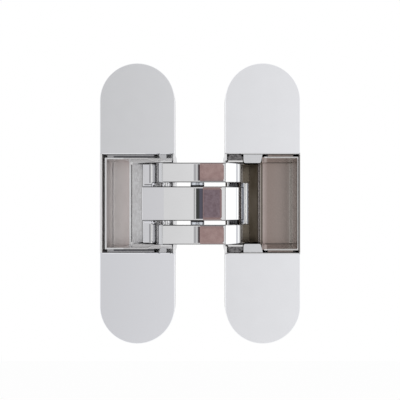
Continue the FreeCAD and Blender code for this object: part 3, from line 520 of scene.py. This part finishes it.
# Outside of a cast leaf, which is duller than its machined front: a grey painted darker from the sides towards
# the back, as painted shade
def cast_shell(n, place, base, roughness):
    x, y, z = n.split(place)
    shade = n.ramp(y, SHELL_TONES)
    behind = n.maths("GREATER_THAN", y, at(SHELL_FROM) * MM)
    ends = n.maths("GREATER_THAN", n.maths("ABSOLUTE", z), END_HEIGHT * MM)
    reach = n.maths("ABSOLUTE", n.maths("SUBTRACT", x, HINGE_MIDDLE * MM))
    outer = n.maths("GREATER_THAN", reach, OUTER_SIDE * MM)
    inner = n.maths("MULTIPLY", n.maths("LESS_THAN", reach, INNER_SIDE * MM),
                    n.maths("GREATER_THAN", y, at(INNER_SIDE_FROM) * MM))
    side = n.maths("MAXIMUM", outer, inner)
    back = n.maths("GREATER_THAN", y, at(BACK_FROM) * MM)
    shell = n.maths("MAXIMUM", n.maths("MULTIPLY", behind, n.maths("MAXIMUM", ends, side)), back)
    return n.mix(shell, base, shade), n.remap(shell, 0.0, 1.0, roughness, SHELL_ROUGHNESS)


# Cover: a slightly lighter front at the lower left, and edges and back in the painted-shade greys of the leaf
# around it, with painted shade where it ends at the right leaf's window
def cover_edge(n, place, base, roughness):
    x, y, z = n.split(place)
    lower_left = n.maths("MULTIPLY", n.maths("LESS_THAN", z, 0.0), n.maths("LESS_THAN", x, HINGE_MIDDLE * MM))
    base = n.mix(lower_left, base, (0.88, 0.885, 0.925, 1.0))
    edge = n.maths("GREATER_THAN", y, at(COVER_EDGE_FROM) * MM)
    bands = [((HINGE_MIDDLE, 80.0), (0.04, 2.2), (-1.0, 21.8), (0.36, 0.355, 0.35), 1.0)]
    return n.mix(edge, base, n.ramp(y, SHELL_TONES)), n.remap(edge, 0.0, 1.0, roughness, SHELL_ROUGHNESS), bands


# Left leaf: its cast outside, with pale painted light on the wall in its window and a painted highlight on the
# rim beside it
def left_window(n, place, base, roughness):
    base, roughness = cast_shell(n, place, base, roughness)
    bands = [
        ((-15.4, -15.05), (0.3, 28.0), (-1.0, 21.5), (0.97, 0.95, 0.94), 0.0),
        ((-16.3, -15.1), (-0.1, 0.4), (-1.0, 21.0), (0.97, 0.97, 0.98), 0.5),
    ]
    return base, roughness, bands


# Ground rims of the two spacer washers, with a line of painted shade where they meet the middle bar
def washer_rims(n, place, base, roughness):
    return base, roughness, [(None, (-8.0, 2.0), (7.1, 7.8), (0.05, 0.05, 0.055), 1.0)]


# Right leaf: its cast outside, with painted shade on the outer rim beside its window
def right_window(n, place, base, roughness):
    base, roughness = cast_shell(n, place, base, roughness)
    bands = [
        ((69.05, 70.2), (-0.1, 0.4), (-1.0, 21.0), (0.28, 0.26, 0.25), 1.0),
    ]
    return base, roughness, bands


CHROME = (0.87, 0.87, 0.88, 1.0)
SATIN = (0.84, 0.845, 0.87, 1.0)
ARM = {"rough": 0.05, "wave": 2e-6}
COVER = {"rough": 0.09, "wave": 1e-6, "patches": cover_edge}
CAST = {"wave": 2e-6, "grain": 5e-7}
# Left and right copies of the covers, housings and retainers get different tones: painted light and shade of one
# side against the other
materials = {
    "fork_arm_metal": metal("fork_chrome", CHROME, patches=prong_patches, **ARM),
    "centre_arm_metal": metal("centre_chrome", CHROME, patches=centre_patches, **ARM),
    "left_cover_metal": metal("left_cover_satin", SATIN, **COVER),
    "right_cover_metal": metal("right_cover_satin", (0.895, 0.90, 0.93, 1.0), **COVER),
    "left_housing_metal": metal("left_housing_satin", (0.97, 0.97, 0.98, 1.0), 0.18,
                                patches=left_window, **CAST),
    "right_housing_metal": metal("right_housing_satin", (0.92, 0.92, 0.93, 1.0), 0.1,
                                 patches=right_window, **CAST),
    "left_carrier_metal": metal("left_carrier_nickel", (0.86, 0.86, 0.87, 1.0), 0.14,
                                patches=left_pocket, **CAST),
    "right_carrier_metal": metal("right_carrier_nickel", (0.84, 0.83, 0.83, 1.0), 0.14,
                                 patches=right_pocket, **CAST),
    "pin_steel": metal("pin_ground", grey(0.72), 0.12),
    "washer_steel": metal("washer_polished", (0.62, 0.65, 0.70, 1.0), 0.3, patches=washer_rims),
    "height_plate_steel": metal("plate_zinc", (0.66, 0.66, 0.65, 1.0), 0.3, grain=1e-6),
    "cam_steel": metal("cam_turned", grey(0.56), 0.22),
    "left_retainer_metal": metal("left_retainer_chrome", (0.61, 0.61, 0.63, 1.0), 0.14),
    "right_retainer_metal": metal("right_retainer_chrome", (0.73, 0.735, 0.755, 1.0), 0.14),
    "screw_steel": metal("screw_dark", (0.45, 0.45, 0.46, 1.0), 0.28),
}


# Dark polymer of the bushes
def polymer():
    material = bpy.data.materials.new("bush_polymer")
    material.use_nodes = True
    n = Nodes(material.node_tree)
    shader = material.node_tree.nodes["Principled BSDF"]
    place = n.add("ShaderNodeTexCoord").outputs["Object"]
    cloud = n.noise(place, 900.0)
    n.feed(shader, "Base Color", n.mix(cloud, (0.018, 0.018, 0.020, 1.0), (0.035, 0.035, 0.037, 1.0)))
    n.feed(shader, "Roughness", n.remap(cloud, NOISE_LOW, NOISE_HIGH, 0.42, 0.58))
    return material


materials["bush_polymer"] = polymer()

for name, item in nodes.items():
    for slot in item.material_slots:
        slot.material = materials[slots[name]]


# Rounding: edges that are taken, in millimetres and radians, and its widths in millimetres
FLAT_SIDE, UPRIGHT_SIDE = 0.98, 0.2
LONGEST_BORE_RIM = 12.0
SHORTEST_ROUNDED = 1.5
SHARP = math.radians(40.0)
SMOOTH = math.radians(32.0)
COPLANAR = math.radians(0.3)
WELD = 1e-7
SEGMENTS = 3
ARM_ROUNDING, CARRIER_ROUNDING, RETAINER_ROUNDING = 0.45, 0.12, 0.2


# Outline edges of an arm's flat sides, without the rims of its bores
def outline(shape):
    found = set()
    for edge in shape.edges:
        if len(edge.link_faces) == 2 and edge.is_convex:
            low, high = sorted(abs(face.normal.z) for face in edge.link_faces)
            if high > FLAT_SIDE and low < UPRIGHT_SIDE:
                found.add(edge)
    kept = []
    while found:
        loop = [found.pop()]
        for edge in loop:
            near = {other for corner in edge.verts for other in corner.link_edges} & found
            found -= near
            loop += near
        if sum(edge.calc_length() for edge in loop) > LONGEST_BORE_RIM * MM:
            kept += loop
    return kept


# Long sharp edges of a cast piece
def long_edges(shape):
    kept = []
    for edge in shape.edges:
        sharp = len(edge.link_faces) == 2 and edge.is_convex and edge.calc_face_angle() > SHARP
        if sharp and edge.calc_length() > SHORTEST_ROUNDED * MM:
            kept.append(edge)
    return kept


# Copy of a piece with its sharp edges rounded, as cast and polished metal has them
def rounded(name, choose, width):
    source = nodes[name]
    mesh = source.data.copy()
    shape = bmesh.new()
    shape.from_mesh(mesh)
    bmesh.ops.remove_doubles(shape, verts=shape.verts, dist=WELD)
    bmesh.ops.dissolve_limit(shape, angle_limit=COPLANAR, verts=shape.verts, edges=shape.edges)
    shape.normal_update()
    bmesh.ops.bevel(shape, geom=choose(shape), offset=width * MM, offset_type="OFFSET", segments=SEGMENTS,
                    profile=0.5, affect="EDGES", clamp_overlap=False)
    for face in shape.faces:
        face.smooth = True
    for edge in shape.edges:
        edge.smooth = len(edge.link_faces) != 2 or edge.calc_face_angle(0.0) < SMOOTH
    shape.to_mesh(mesh)
    shape.free()
    work = bpy.data.objects.new(name + "_work", mesh)
    scene.collection.objects.link(work)
    weighted = work.modifiers.new("normals", "WEIGHTED_NORMAL")
    weighted.keep_sharp = True
    graph = bpy.context.evaluated_depsgraph_get()
    finished = bpy.data.meshes.new_from_object(work.evaluated_get(graph), depsgraph=graph)
    bpy.data.objects.remove(work)
    piece = bpy.data.objects.new(name + "_rounded", finished)
    scene.collection.objects.link(piece)
    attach(piece, source["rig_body"])
    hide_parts(name)
    return piece


for name in ("fork_arm", "centre_arm"):
    rounded(name, outline, ARM_ROUNDING)
for name in ("left_carrier", "right_carrier"):
    rounded(name, long_edges, CARRIER_ROUNDING)
for name in ("left_upper_retainer", "left_lower_retainer", "right_upper_retainer", "right_lower_retainer"):
    rounded(name, long_edges, RETAINER_ROUNDING)
